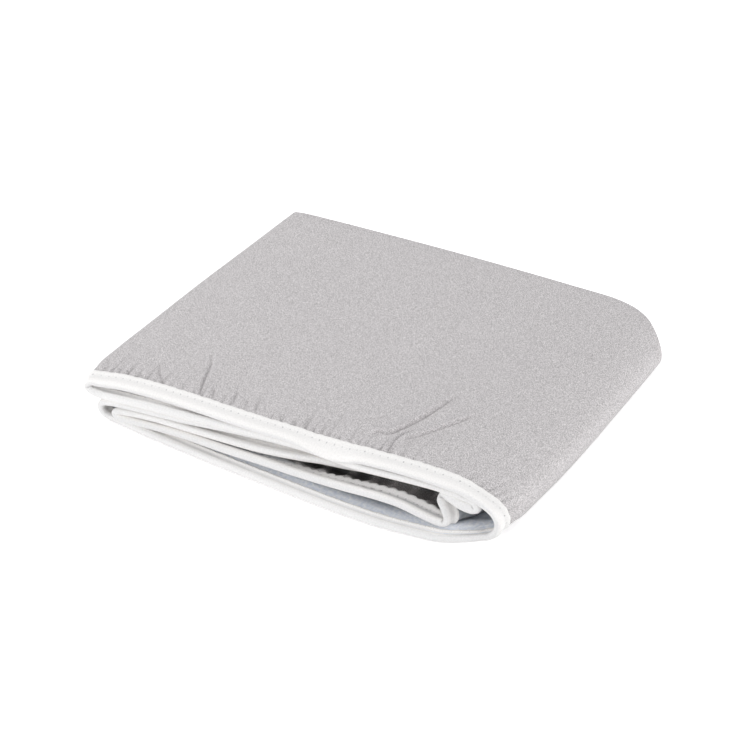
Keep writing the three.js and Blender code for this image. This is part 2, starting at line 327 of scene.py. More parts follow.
class Rim:
    """The rim at one density of points, and the plies that run back from it."""

    def __init__(self, density):
        self.front = along_legs(FRONT, density)
        self.back = along_legs(BACK, density)
        self.counts = [round(LEG_STEPS[leg] * density) for leg in LEGS]
        self.count = sum(self.counts)
        self.leg = np.repeat(LEGS, self.counts)
        self.window = max(3, round(EASE_WINDOW * density))
        turn = LEGS.index("inner_end")
        apex = sum(self.counts[:turn]) + self.counts[turn] // 2
        self.partner = (2 * apex - np.arange(self.count)) % self.count
        self.ease_x, self.ease_z = (self.blend(EASE, k) for k in (0, 1))
        self.loft_x, self.loft_z = (self.blend(LOFT, k) for k in (0, 1))
        self.edge_y = EDGE_Y - self.front[:, 1]
        self.add_slack()
        x = self.back[:, 0]
        corner = np.clip((x - CORNER_FROM_X) / (HALF_WIDTH - CORNER_FROM_X), 0, CORNER_LIMIT)
        self.turn_y = BACK_SIDE_Y + BACK_CROWN * (1 - (x / HALF_WIDTH) ** 2) - CORNER_DRAW * corner**3
        self.turn_y = (self.turn_y + self.turn_y[self.partner]) / 2
        line = np.stack([self.front[:, 0], self.edge_y, self.front[:, 2]], axis=1)
        self.run = np.concatenate([[0], np.cumsum(np.linalg.norm(np.roll(line, -1, 0) - line, axis=1))])
        self.along = self.run[:-1]

    def blend(self, pairs, k):
        """One value for each leg, spread over its points and smoothed where legs meet."""
        return smooth_round(np.repeat([pairs.get(leg, (0, 0))[k] for leg in LEGS], self.counts), self.window)

    def add_slack(self):
        """How far each point dips, sags, tips and rises."""
        x, _, z = self.front.T
        self.dip = DIP_DEPTH * bell(x - DIP_X, DIP_WIDTH) * (self.leg == "top_outer")
        sag = {leg: (depth,) for leg, depth in SAG.items()}
        self.sag = self.blend(sag, 0) * ramp(x, SAG_START_X, SAG_SPREAD)
        self.loose = self.sag / max(SAG.values())
        self.tilt = TILT_DROP * bell(x - TILT_X, TILT_WIDTH) * (self.leg == "low_inner")
        low_end = np.isin(self.leg, ("low_outer", "right_wrap")) * ramp(RISE_BELOW_Z - z, 0, RISE_FADE)
        self.rise = RISE * low_end * np.interp(x, RISE_X, RISE_SHARE)

    def row_behind(self, depth):
        """Mid-ply points at one depth behind the rim."""
        span = self.turn_y - self.edge_y
        rest = ramp(depth, EVEN_DEPTH, FULL_DEPTH - EVEN_DEPTH)
        t = np.minimum(depth, EVEN_DEPTH) / span + (1 - EVEN_DEPTH / span) * rest
        share = np.maximum(t, 0)
        wx = 1 - (1 - share) ** self.ease_x
        wz = 1 - (1 - share) ** self.ease_z
        bulge = (1 - die_away(depth, BULGE_LENGTH)) * (1 - rest)
        x = self.front[:, 0] * (1 - wx) + self.back[:, 0] * wx + self.loft_x * bulge
        undip = 1 - die_away(depth, DIP_LENGTH)
        front_z = self.front[:, 2] + self.dip * undip - self.tilt * ramp(depth, 0, TILT_LENGTH)
        z = front_z * (1 - wz) + self.back[:, 2] * wz + self.loft_z * (1 - die_away(depth, LOFT_LENGTH))
        z += self.rise * smooth_step(np.interp(depth, RISE_DEPTH, (0, 1, 0)))
        z -= self.sag * smooth_step(ramp(depth, SAG_FROM, SAG_LENGTH)) * (1 - rest) ** 2
        return np.stack([x, self.edge_y + t * span, z], axis=1)

    def middle(self, depths):
        """Mid-ply points for rows of depth, with the directions to the silver side and inward."""
        points = np.stack([self.row_behind(depth) for depth in depths])
        along = np.roll(points, -1, 1) - np.roll(points, 1, 1)
        inward = np.gradient(points, np.asarray(depths, float), axis=0)
        normal = np.cross(along, inward)
        normal /= np.linalg.norm(normal, axis=2, keepdims=True)
        inward /= np.linalg.norm(inward, axis=2, keepdims=True)
        return points, normal, inward


rim = Rim(1.0)
print("rim length mm", round(rim.run[-1]), "points", rim.count)

# %% [markdown]
# ## Meshes from rows
#
# Cloth, felt and tape are rows of points round the rim. Helpers join the rows and close the back, where
# the two plies of a panel share one line. A modifier could give thickness, but rows made in code
# keep the plies apart.

# %% A mesh object from points


def new_piece(name, points, faces, uv=None, shade=None):
    """A smooth-shaded mesh object from millimetre points, with a UV map in metres."""
    mesh = bpy.data.meshes.new(name)
    # A quad with a repeated corner becomes a triangle, and one with fewer corners goes.
    corners = [list(dict.fromkeys(face)) for face in faces]
    mesh.from_pydata((np.asarray(points) * MM).tolist(), [], [c for c in corners if len(c) > 2])
    mesh.update()
    mesh.shade_smooth()
    if uv is not None:
        layer = mesh.uv_layers.new(name="cloth")
        vertex = np.empty(len(mesh.loops), dtype=np.int32)
        mesh.loops.foreach_get("vertex_index", vertex)
        layer.data.foreach_set("uv", (uv[vertex] * MM).astype(np.float32).ravel())
    if shade is not None:
        layer = mesh.attributes.new("shade", "FLOAT", "POINT")
        layer.data.foreach_set("value", np.asarray(shade, np.float32).ravel())
    editor = bmesh.new()
    editor.from_mesh(mesh)
    unused = [v for v in editor.verts if not v.link_faces]
    bmesh.ops.delete(editor, geom=unused, context="VERTS")
    editor.to_mesh(mesh)
    editor.free()
    piece = bpy.data.objects.new(name, mesh)
    scene.collection.objects.link(piece)
    print(name, "triangles", sum(len(p.vertices) - 2 for p in mesh.polygons))
    return piece


def bands(rows, flip=False):
    """Quads between neighbouring closed rows of vertex numbers."""
    quads = np.vstack([
        np.stack([a, np.roll(a, -1), np.roll(b, -1), b], axis=1) for a, b in zip(rows, rows[1:])
    ])
    return (quads[:, ::-1] if flip else quads).tolist()


def cloth_uv(along, across):
    """Places on the flat cloth: along the rim and across it."""
    return np.stack(np.broadcast_arrays(along[None, :], across[:, None]), axis=2).reshape(-1, 2)


print("quads in one band", rim.count)

# %% Rows of the folded cover
HAIRPIN_STEPS = 6
BACK_GAP = 0.6
KEEL_STEP = 1.0


def pouch_face(rim, depths, offset):
    """One face of the cover: rows from the rim to the keel, all on one side of mid-ply."""
    points, normal, _ = rim.middle(depths)
    face = points + normal * np.asarray(offset)[..., None]
    rows = list(face)
    last, keel_offset = rows[-1], np.broadcast_to(offset, face.shape[:2])[-1]
    middle = (last + last[rim.partner]) / 2
    for step in range(1, HAIRPIN_STEPS + 1):
        angle = step / HAIRPIN_STEPS * math.pi / 2
        row = middle + (last - middle) * math.cos(angle)
        row[:, 1] += ((BACK_GAP + PLY) / 2 + keel_offset) * math.sin(angle)
        rows.append(row)
    return rows


def pouch_numbers(rim, rows, start=0):
    """Vertex numbers for the rows of a face; the two plies share the last row."""
    numbers = [start + r * rim.count + np.arange(rim.count) for r in range(len(rows))]
    numbers[-1] = np.minimum(numbers[-1], numbers[-1][rim.partner])
    return numbers


def with_keel(depths):
    """Depths of all rows of a face, with those of the turn at the keel."""
    return np.concatenate([depths, FULL_DEPTH + KEEL_STEP * np.arange(1, HAIRPIN_STEPS + 1)])


print("rows of the turn at the keel", HAIRPIN_STEPS)

# %% [markdown]
# ## Face cloth
#
# The face is thin coated cotton. It lies smooth where the felt holds it, and puckers where the
# seam has drawn it in. Added sines of uneven length make the folds irregular and still the same at
# every run. A noise texture would not follow the seam.

# %% Puckers along the seam
SEAM_DEPTH = 11.0
PUCKER_PITCH = 7.4
PUCKER_HEIGHT = 2.1
PUCKER_FADE = 9.0
PUCKER_LEVEL = 0.64
PUCKER_SHADE = 1.1
PUCKER_SHADE_WIDTH = 0.45
DRAWN_PITCH = 9.3
DRAWN_WIDTH = 0.24
DRAWN_FADE = 18.0
DRAWN_DEPTH = 0.3
DRAWN_SHADE = 0.25


def puckers(rim, depth):
    """Short folds behind the tape: their rise and the shade between them."""
    run = rim.along[None, :]
    bent = run + 0.25 * depth * np.sin(run / 90) + 2.4 * np.sin(run / 17) + 1.6 * np.sin(run / 7.1)
    pillow = np.abs(np.sin(math.pi * bent / PUCKER_PITCH))
    strength = 0.62 + 0.24 * np.sin(run / 29 + 1.0) + 0.24 * np.sin(run / 11.7)
    reach = PUCKER_FADE * (0.45 + 1.1 * np.sin(run / 5.3 + 2 * np.sin(run / 41)) ** 2)
    fade = die_away(depth - SEAM_DEPTH, reach)
    stand = PUCKER_HEIGHT * ((pillow - PUCKER_LEVEL) * strength) * fade * ramp(depth, 0, SEAM_DEPTH)
    return stand, PUCKER_SHADE * bell(pillow, PUCKER_SHADE_WIDTH) * fade * strength


def drawn_lines(rim, depth):
    """Thin lines on the top ply, where single stitches pull at the cloth."""
    run = rim.along[None, :]
    line = bell(np.sin(math.pi * (run + 1.5 * np.sin(run / 13)) / DRAWN_PITCH), DRAWN_WIDTH)
    line = line * die_away(depth - SEAM_DEPTH, DRAWN_FADE) * ramp(depth, 0, SEAM_DEPTH)
    return line * (rim.leg == "top_outer") * (0.6 + 0.4 * np.sin(run / 21))


print("puckers round the rim", round(rim.run[-1] / PUCKER_PITCH))

# %% [markdown]
# Away from the seam the padding swells a little. In the pocket the slack cloth gathers in folds.

# %% Swells and gathers
SWELL_LENGTHS, SWELL_PHASES, SWELL_HEIGHT = (97, 151, 211), (0.5, 2.2, 3.9), 0.45
SWELL_FADE = 60
NEAR_LENGTHS, NEAR_PHASES, NEAR_HEIGHT = (31, 47, 68), (1.1, 0.2, 2.6), 0.7
NEAR_DEPTH = 34
NEAR_WIDTH = 24
GATHER_PITCH = 17.0
GATHER_HEIGHT = 2.6
GATHER_LEVEL = 0.35
GATHER_SHARPNESS = 1.5
GATHER_DEPTH = (9, 6)
GATHER_FADE = 26
# The pocket's shade: how strong along the front, and how soon behind the tape.
POCKET_X = (0, 45, 68, 112)
POCKET_DARK = (1.6, 1.3, 0.4, 2.0)
POCKET_FROM = 10
POCKET_SOON_X = (30, 80)
POCKET_SOON = (4, 24)
# Between the folds the shade is full, and on their ridges nearly gone, less so further back.
POCKET_FULL = 1.3
POCKET_RIDGE = 1.25
POCKET_RIDGE_FADE = 25


def waves(place, pitches, phases):
    """A sum of sine waves, for uneven ripples."""
    return sum(np.sin(2 * math.pi * place / p + f) for p, f in zip(pitches, phases)) / len(pitches)


def swells(rim, depth):
    """Long waves of the padding, and shorter ones a little behind the rim."""
    run = rim.along[None, :]
    far = waves(run + 0.6 * depth, SWELL_LENGTHS, SWELL_PHASES) * ramp(depth, 0, SWELL_FADE)
    far = far * ramp(FULL_DEPTH - depth, 0, SWELL_FADE)
    near = waves(run - 0.3 * depth, NEAR_LENGTHS, NEAR_PHASES) * bell(depth - NEAR_DEPTH, NEAR_WIDTH)
    return SWELL_HEIGHT * far + NEAR_HEIGHT * near


def gathers(rim, depth):
    """Folds of the slack cloth in the pocket: their rise and the shade between them."""
    run, x, loose = rim.along[None, :], rim.front[:, 0][None, :], rim.loose[None, :]
    ridge = np.sin(2 * math.pi * (run + 0.3 * depth) / GATHER_PITCH + 1.2 * np.sin(run / 23))
    ridge = np.clip(ridge, 0, 1) ** GATHER_SHARPNESS
    stand = GATHER_HEIGHT * ((ridge - GATHER_LEVEL) * die_away(depth - SEAM_DEPTH, GATHER_FADE))
    stand = stand * ramp(depth, *GATHER_DEPTH) * loose
    dark = ramp(depth, POCKET_FROM, np.interp(x, POCKET_SOON_X, POCKET_SOON))
    dark = dark * np.interp(x, POCKET_X, POCKET_DARK) * loose
    lit = POCKET_RIDGE * ridge * die_away(depth - NEAR_DEPTH, POCKET_RIDGE_FADE)
    return stand, dark * (POCKET_FULL - lit)


print("gathers: pitch", GATHER_PITCH, "height", GATHER_HEIGHT)

# %% [markdown]
# A few longer creases run back over the top ply. Each is a narrow valley along a line in plan, with
# a softer ridge on its left. Sculpting would do, but could not be repeated.

# %% Creases of the top ply
CREASE_SHADE = 0.4
CREASES = [
    # Points in plan, then depth, half-width, ridge, and the shares of the line for fading in and out.
    ([(-140, -119), (-133, -127)], 1.1, 1.0, 0.3, 0.5, 0.1),
    ([(-137, -98), (-126, -115), (-114, -127)], 1.2, 1.1, 0.2, 0.6, 0.1),
    ([(-112, -62), (-97, -90), (-91, -108), (-84, -127)], 1.7, 1.2, 0.35, 0.6, 0.06),
    ([(-84, -104), (-73, -126)], 1.1, 1.2, 0.3, 0.6, 0.1),
    ([(-66, -99), (-60, -114), (-56, -126)], 1.1, 1.2, 0.3, 0.6, 0.1),
    ([(-51, -111), (-45, -126)], 0.9, 1.2, 0.2, 0.5, 0.1),
    ([(-43, -98), (-41, -113), (-37, -126)], 1.1, 1.3, 0.3, 0.6, 0.1),
    (
        [(50, -113), (51.5, -107), (55, -105.3), (59, -105.5), (63, -102), (67, -90), (71.5, -76.5),
         (75, -61), (78, -45), (84, -14)], 1.1, 1.3, 2.2, 0.07, 0.42,
    ),
    (
        [(71, -110), (75, -103), (82, -95), (88, -85), (94, -75), (99.5, -64), (111, -38)],
        1.0, 1.3, 1.9, 0.1, 0.42,
    ),
    ([(70, -127), (67, -111), (67.5, -105.5), (71, -97.5), (77, -83)], 1.3, 1.2, 0.9, 0.06, 0.4),
    ([(35, -108), (38, -96), (45, -85)], 0.4, 1.6, 0.3, 0.4, 0.4),
]
# In half-widths: the valley's shift from the line, and the place and the run of its ridge.
VALLEY_SHIFT = 0.8
RIDGE_AT = 1.5
RIDGE_RUN = 3.5
FAR_AWAY = 1e9


def crease_relief(points, line, depth, width, ridge, fade_in, fade_out):
    """The rise of a crease along a line in plan, and where its valley is."""
    line = np.asarray(line, float)
    lengths = np.linalg.norm(np.diff(line, axis=0), axis=1)
    best = np.full(points.shape[:-1], FAR_AWAY)
    place, side = np.zeros_like(best), np.zeros_like(best)
    for start, end, length, before in zip(line, line[1:], lengths, np.cumsum(lengths) - lengths):
        direction = (end - start) / length
        offset = points[..., :2] - start
        raw = np.clip(offset @ direction, 0, length)
        gap = offset - raw[..., None] * direction
        distance = np.linalg.norm(gap, axis=-1)
        nearer = distance < best
        best = np.where(nearer, distance, best)
        place = np.where(nearer, (before + raw) / lengths.sum(), place)
        side = np.where(nearer, direction[0] * gap[..., 1] - direction[1] * gap[..., 0], side)
    signed = np.where(side >= 0, best, -best) + VALLEY_SHIFT * width
    fade = smooth_step(np.minimum(ramp(place, 0, fade_in), ramp(1 - place, 0, fade_out)))
    valley = bell(signed, width)
    past = signed - RIDGE_AT * width
    crest = ridge * np.where(past > 0, bell(past, RIDGE_RUN * width), bell(past, width))
    return fade * (crest - depth * valley), fade * valley


print("creases", len(CREASES), "deepest", max(crease[1] for crease in CREASES))

# %% [markdown]
# The cloth is one sheet of rows from rim to keel. Only the top ply is seen closely, so the others
# keep one fine row in four.

# %% Face cloth
FACE_DEPTHS = np.concatenate([[0, 5, 9.5], np.arange(11, 124, 0.95), np.linspace(126, FULL_DEPTH, 19)])
FINE_ROWS = (3, 122)
ROW_SKIP = 4
TAPE_COVERS = 10
UNDER_TAPE = 0.7


def face_relief(rim, points, depths):
    """Rise of the cloth above its even place, and its shade."""
    depth = np.asarray(depths)[:, None]
    stand, shade = puckers(rim, depth)
    drawn = drawn_lines(rim, depth)
    gather, pocket = gathers(rim, depth)
    relief = stand + swells(rim, depth) - DRAWN_DEPTH * drawn + gather
    shade = np.maximum(shade + DRAWN_SHADE * drawn, pocket)
    on_top, on_floor = rim.leg == "top_outer", rim.leg == "low_outer"
    for line, deep, *form in CREASES:
        rise, valley = crease_relief(points[:, on_top], line, deep, *form)
        relief[:, on_top] += rise
        shade[:, on_top] = np.maximum(shade[:, on_top], CREASE_SHADE * deep * valley**2)
    relief[:, on_floor] = np.minimum(relief[:, on_floor], 0)
    return relief, shade


relief, shade = face_relief(rim, rim.middle(FACE_DEPTHS)[0], FACE_DEPTHS)
relief[FACE_DEPTHS < TAPE_COVERS] -= UNDER_TAPE
rows = pouch_face(rim, FACE_DEPTHS, PLY / 2 + relief)
numbers = pouch_numbers(rim, rows)
plain = rim.leg != "top_outer"
for r in range(*FINE_ROWS):
    numbers[r][plain] = numbers[r - (r - FINE_ROWS[0]) % ROW_SKIP][plain]
shade = np.vstack([shade, np.zeros((HAIRPIN_STEPS, rim.count))])
uv = cloth_uv(rim.along, with_keel(FACE_DEPTHS))
face_cloth = new_piece("face_cloth_sheet", np.vstack(rows), bands(numbers), uv, shade)

# %% [markdown]
# ## Felt
#
# The felt is the thick layer. Only its inner side shows, in the gaps between the plies, so its
# outer side is kept a little below the cloth. It is a closed body and not a single face, because its
# thickness is what holds the plies apart.

# %% Felt body
FELT_OUTER = -0.3
FELT_DENSITY = 0.5
FELT_DEPTHS = np.concatenate([[0, 6, 11], np.arange(14, 60, 4.0), np.linspace(60, FULL_DEPTH, 24)])
# Shade in the pleat's narrow wall and on the floor below the pocket.
WALL_X = 104
WALL_BLUR = 9
WALL_DEPTH = (5, 6)
FLOOR_X = 120
FLOOR_FADE = 40
FLOOR_DEPTH = (10, 10)
FLOOR_DARK = 0.85

felt_rim = Rim(FELT_DENSITY)
outer_rows, inner_rows = (
    pouch_face(felt_rim, FELT_DEPTHS, np.full((len(FELT_DEPTHS), felt_rim.count), offset))
    for offset in (FELT_OUTER, -PLY / 2)
)
outer_numbers = pouch_numbers(felt_rim, outer_rows)
inner_numbers = pouch_numbers(felt_rim, inner_rows, start=len(outer_rows) * felt_rim.count)
faces = bands(outer_numbers) + bands(inner_numbers, flip=True)
faces += bands([inner_numbers[0], outer_numbers[0]])
felt_depth = with_keel(FELT_DEPTHS)
uv = cloth_uv(felt_rim.along, felt_depth)
felt_x, felt_depth = felt_rim.front[:, 0], felt_depth[:, None]
wall = (felt_rim.leg == "pleat") | ((felt_rim.leg == "low_inner") & (felt_x > WALL_X))
wall = smooth_round(wall.astype(float), WALL_BLUR)[None, :] * ramp(felt_depth, *WALL_DEPTH)
below = (felt_rim.leg == "low_outer") * ramp(FLOOR_X - felt_x, 0, FLOOR_FADE)[None, :]
shade = np.maximum(wall, FLOOR_DARK * below * ramp(felt_depth, *FLOOR_DEPTH))
felt = new_piece(
    "felt_layer", np.vstack(outer_rows + inner_rows), faces, np.vstack([uv, uv]), np.vstack([shade, shade])
)

# %% [markdown]
# ## Binding
#
# The tape is folded over the raw edge and sewn through all layers: a flat strip on each side, a
# valley at the seam, and a fat round nose. A point of a strip is a depth behind the edge and a height
# above mid-ply. A bevelled curve could carry this section, but rows let a slack lip flutter.

# %% Section of the tape
STITCH_INSET = 6.6
STITCH_PITCH = 6.2
FACE_STRIP = [
    (11.0, 1.55), (10.85, 2.05), (10.3, 2.35), (9.2, 2.36), (7.8, 1.95), (6.6, 1.6), (5.4, 1.68),
    (4.0, 2.05), (2.8, 2.45), (1.7, 2.72), (0.7, 2.8),
]
FELT_STRIP = [
    (8.0, 1.6), (7.9, 2.4), (7.4, 2.85), (6.6, 2.75), (5.4, 2.15), (4.2, 1.9), (2.8, 2.3),
    (1.7, 2.68), (0.7, 2.75),
]
NOSE = 2.85
NOSE_HALF = 2.78
NOSE_ROUND = 0.7
NOSE_ANGLES = np.radians([64, 42, 20, 0, -20, -42, -64])
TAPE_DENSITY = 2.5

tape_rim = Rim(TAPE_DENSITY)
tape_run, tape_x, tape_z = tape_rim.along, tape_rim.front[:, 0], tape_rim.front[:, 2]
stitches = round(tape_rim.run[-1] / STITCH_PITCH)
pitch = tape_rim.run[-1] / stitches
print("stitches", stitches, "pitch mm", round(pitch, 2))

# %% [markdown]
# A tape is never even. Its free edge waves a little, flutters in notches where the pocket leaves it
# slack, and its fold is fatter in the pleat's tight lobe.

# %% Uneven tape
SCALLOP_LENGTHS, SCALLOP_PHASES = (7.3, 9.7, 19.0), (0.0, 1.0, 2.0)
SCALLOP_LIFT = 0.1
SCALLOP_SLIDE = 0.3
NOTCH_PITCH = 7.0
NOTCH_LEVEL = 0.6
NOTCH_LIFT = 0.7
NOTCH_SLIDE = 1.8
VALLEY_WIDTH = 1.8
VALLEY_SINK = 0.5
LIP_LOW = -1.0
LIP_HIGH = 1.5
LIP_X = (20.0, 80.0)
LOBE_X = 121
LOBE_Z = 23
LOBE_BLUR = 41
FAT_FOLD = 0.55
FAT_WITHIN = 4

scallop = waves(tape_run, SCALLOP_LENGTHS, SCALLOP_PHASES)
loose = tape_rim.loose
lobe = (tape_rim.leg == "pleat") & (tape_x > LOBE_X) & (tape_z > LOBE_Z)
fat = 1 + FAT_FOLD * smooth_round(lobe.astype(float), LOBE_BLUR)
lip = np.interp(tape_x, LIP_X, (LIP_LOW, LIP_HIGH))
notch = np.abs(np.sin(math.pi * tape_run / NOTCH_PITCH + 0.8 * np.sin(tape_run / 31))) - NOTCH_LEVEL


def strip_rows(strip, side):
    """Rows of one strip from its back edge to the nose, and its directions."""
    depths = [depth for depth, _ in strip]
    points, normal, inward = (a[::-1] for a in tape_rim.middle(depths[::-1]))
    made = []
    for i, (depth, height) in enumerate(strip):
        free = max(0.0, (depth - STITCH_INSET) / (depths[0] - STITCH_INSET))
        valley = bell(depth - STITCH_INSET, VALLEY_WIDTH)
        lift = SCALLOP_LIFT * scallop * free
        lift = lift + loose * (free * (lip + NOTCH_LIFT * notch) - VALLEY_SINK * valley)
        slide = (SCALLOP_SLIDE * scallop + NOTCH_SLIDE * loose * notch) * free
        offset = side * (height * np.where(depth < FAT_WITHIN, fat, 1) + lift)
        made.append(points[i] + normal[i] * offset[:, None] + inward[i] * slide[:, None])
    return made, normal, inward


face_rows, face_normal, face_inward = strip_rows(FACE_STRIP, 1)
felt_rows, felt_normal, felt_inward = strip_rows(FELT_STRIP, -1)
print("rows of the two strips", len(face_rows), len(felt_rows))

# %% [markdown]
# The nose joins the two strips. The width of the tape, laid flat, is the way round this section.

# %% Rows of the whole tape
NOSE_STEP = 0.8
FELT_SIDE_V = -6.0

edge = tape_rim.middle([FACE_STRIP[-1][0], FACE_STRIP[-2][0]])[0][0]
edge_normal, edge_inward = face_normal[-1], face_inward[-1]
nose_rows = [
    edge - edge_inward * NOSE * math.cos(a) ** NOSE_ROUND
    + edge_normal * fat[:, None] * NOSE_HALF * math.sin(a)
    for a in NOSE_ANGLES
]
tape_rows = face_rows + nose_rows + felt_rows[::-1]
numbers = [r * tape_rim.count + np.arange(tape_rim.count) for r in range(len(tape_rows))]
across = np.array(
    [d for d, _ in FACE_STRIP]
    + [-NOSE_STEP * (i + 1) for i in range(len(nose_rows))]
    + [FELT_SIDE_V - d for d, _ in FELT_STRIP][::-1]
)

# %% [markdown]
# The tape carries painted shade: in the valley of the seam, on the front of its nose, in the slack hollow,
# in crevices between plies and under the top bight, with less of it where its felt side faces up. Places
# across it count from the nose: above 0 on the face side, below 0 on the felt side.

# %% Shade on the tape
# Painted shade by the place across the tape: the seam's valley, the nose front and a little on the felt
# strip.
ACROSS_SHADE_AT = (-11.6, -10.4, -9.0, -7, -5.6, -2.0, -0.9, 1.0, 3.5, 6.0, 8.0, 11.0)
ACROSS_SHADE = (0.0, 0.12, 0.1, 0.03, 0.34, 0.36, 0.05, 0.0, 0.08, 0.18, 0.08, 0.02)
HOLLOW_AT = 4.6
HOLLOW_WIDTH = 1.7
HOLLOW_X = (30.0, 80.0)
HOLLOW_DARK = 0.7
CREVICE_X = (-100.0, -30.0, 0.0, 12.0)
CREVICES = {"mid_outer": (2.5, 3.6, 5.6, 6.2), "low_inner": (2.5, 3.6, 8.0, 14.0)}
CREVICE_EDGE = 1.2
CREVICE_DARK = 0.9
UNDER_AT, UNDER_SHARE, UNDER_DARK = (-14, -9, FELT_SIDE_V, -4), (0, 1, 1, 0), 0.08
FELT_UP_X = (40.0, 110.0)
FELT_UP_BLUR = 61
FELT_UP_LESS_SHADE = 0.35

place = across[:, None]
hollow = np.where(place > 0, bell(place - HOLLOW_AT, HOLLOW_WIDTH), 0)
hollow = HOLLOW_DARK * hollow * loose * ramp(tape_x, HOLLOW_X[0], HOLLOW_X[1] - HOLLOW_X[0])
deep = np.zeros_like(hollow)
for leg, starts in CREVICES.items():
    start = np.interp(tape_x, CREVICE_X, starts)[None, :]
    deep += (tape_rim.leg == leg)[None, :] * ramp(place, start, CREVICE_EDGE)
under = np.isin(tape_rim.leg, ("top_inner", "left_top"))[None, :] * np.interp(place, UNDER_AT, UNDER_SHARE)
# Less painted shade on the felt half of the nose, where the felt side faces up.
felt_up = np.isin(tape_rim.leg, ("top_inner", "mid_inner")).astype(float)
felt_up += (tape_rim.leg == "low_outer") * np.interp(tape_x, FELT_UP_X, (1, 0))
felt_up = FELT_UP_LESS_SHADE * smooth_round(felt_up, FELT_UP_BLUR)[None, :]
felt_up = felt_up * ((place < -1) & (place > FELT_SIDE_V))
# Painted shade across the tape, less where the felt side faces up and on the slack face strip.
across_shade = np.interp(place, ACROSS_SHADE_AT, ACROSS_SHADE) * (1 - felt_up) * np.where(place > 1, 1 - loose, 1)
shade = across_shade + hollow + CREVICE_DARK * deep + UNDER_DARK * under
faces = bands(numbers, flip=True)
tape = new_piece("binding_tape", np.vstack(tape_rows), faces, cloth_uv(tape_run, across), shade)

# %% [markdown]
# ## Stitches
#
# A lockstitch shows one short thread after another on each side, and each dips into its holes. A
# picture of stitches would lie flat in a close view, so every stitch is a small arched tube.

# %% Stitch threads
THREAD_RADIUS = 0.22
THREAD_ENDS = 0.55
STITCH_SPAN = (0.08, 0.92)
STITCH_RINGS = 7
STITCH_SIDES = 6
STITCH_ARCH = 0.18
STITCH_SINK = 0.2


def at_places(places, row):
    """Values of a closed row round the tape, at places along it."""
    closed = np.vstack([row, row[:1]])
    return np.stack([np.interp(places, tape_rim.run, closed[:, c]) for c in range(3)], axis=1)


def tube_faces(start):
    """Faces of one stitch whose vertices begin at a number."""
    rings = start + np.arange(STITCH_RINGS * STITCH_SIDES).reshape(STITCH_RINGS, STITCH_SIDES)
    return bands(rings) + [rings[0].tolist()[::-1], rings[-1].tolist()]


def stitch_row(name, strip, rows, normal, inward, side):
    """A row of single stitches along the strip on one side of the rim."""
    row = [depth for depth, _ in strip].index(STITCH_INSET)
    turn = (np.arange(STITCH_SIDES) * 2 * math.pi / STITCH_SIDES)[None, :, None]
    t = np.linspace(*STITCH_SPAN, STITCH_RINGS)
    arch = np.sin(np.pi * (t - t[0]) / (t[-1] - t[0])) ** 0.5
    size = (THREAD_RADIUS * (THREAD_ENDS + (1 - THREAD_ENDS) * arch))[:, None, None]
    points, faces = [], []
    for k in range(stitches):
        places = (k + t) * pitch
        up, aside = at_places(places, normal[row] * side), at_places(places, inward[row])
        centre = at_places(places, rows[row]) + up * (STITCH_ARCH * arch - STITCH_SINK)[:, None]
        tube = centre[:, None] + size * np.cos(turn) * up[:, None] + size * np.sin(turn) * aside[:, None]
        points.append(tube.reshape(-1, 3))
        faces += tube_faces(k * STITCH_RINGS * STITCH_SIDES)
    return new_piece(name, np.vstack(points), faces)


needle_row = stitch_row("needle_stitches", FACE_STRIP, face_rows, face_normal, face_inward, 1)
bobbin_row = stitch_row("bobbin_stitches", FELT_STRIP, felt_rows, felt_normal, felt_inward, -1)

# %% [markdown]
# ## Materials
#
# The pad has four finishes: silver cotton, needle felt, woven tape and sewing thread. Each is one
# Principled shader. What several of them need is a node group, built once and placed with its own
# values. A picture of cloth would be another way, but nodes stay sharp at any size.

# %% Material helpers


def join(tree, value, socket):
    """Links a socket, or sets a plain number or colour."""
    if isinstance(value, bpy.types.NodeSocket):
        tree.links.new(value, socket)
    else:
        socket.default_value = value


def fill(tree, node, values):
    """Links or sets the inputs of a node by name."""
    for name, value in values.items():
        join(tree, value, node.inputs[name])
    return node


def new_node(tree, kind, **values):
    """A shader node with its inputs linked or set."""
    return fill(tree, tree.nodes.new("ShaderNode" + kind), values)


def new_group(name, inputs, outputs):
    """An empty node group with named sockets; gives the group and its two ends."""
    group = bpy.data.node_groups.new(name, "ShaderNodeTree")
    for in_out, sockets in (("INPUT", inputs), ("OUTPUT", outputs)):
        for socket, kind in sockets.items():
            group.interface.new_socket(socket, in_out=in_out, socket_type="NodeSocket" + kind)
    print("node group", name, "takes", list(inputs), "gives", list(outputs))
    return group, group.nodes.new("NodeGroupInput").outputs, group.nodes.new("NodeGroupOutput").inputs


def place_group(tree, group, **values):
    """Places a node group with its own values; gives its outputs."""
    node = new_node(tree, "Group")
    node.node_tree = group
    return fill(tree, node, values).outputs


def math_node(tree, operation, first, second=0.0):
    """A math node between sockets or plain numbers; gives its output."""
    node = new_node(tree, "Math")
    node.operation = operation
    join(tree, first, node.inputs[0])
    join(tree, second, node.inputs[1])
    return node.outputs[0]


def mix_colour(tree, blend, factor, first, second):
    """Mixes two colours; gives the result."""
    node = new_node(tree, "Mix")
    node.data_type = "RGBA"
    node.blend_type = blend
    return fill(tree, node, {"Factor": factor, "A": first, "B": second}).outputs["Result"]


print("meshes in the scene", len(bpy.data.meshes))

# %% [markdown]
# ### Grain
#
# Noise picks a place between a dark and a light thread colour, and is also the height of the bump.

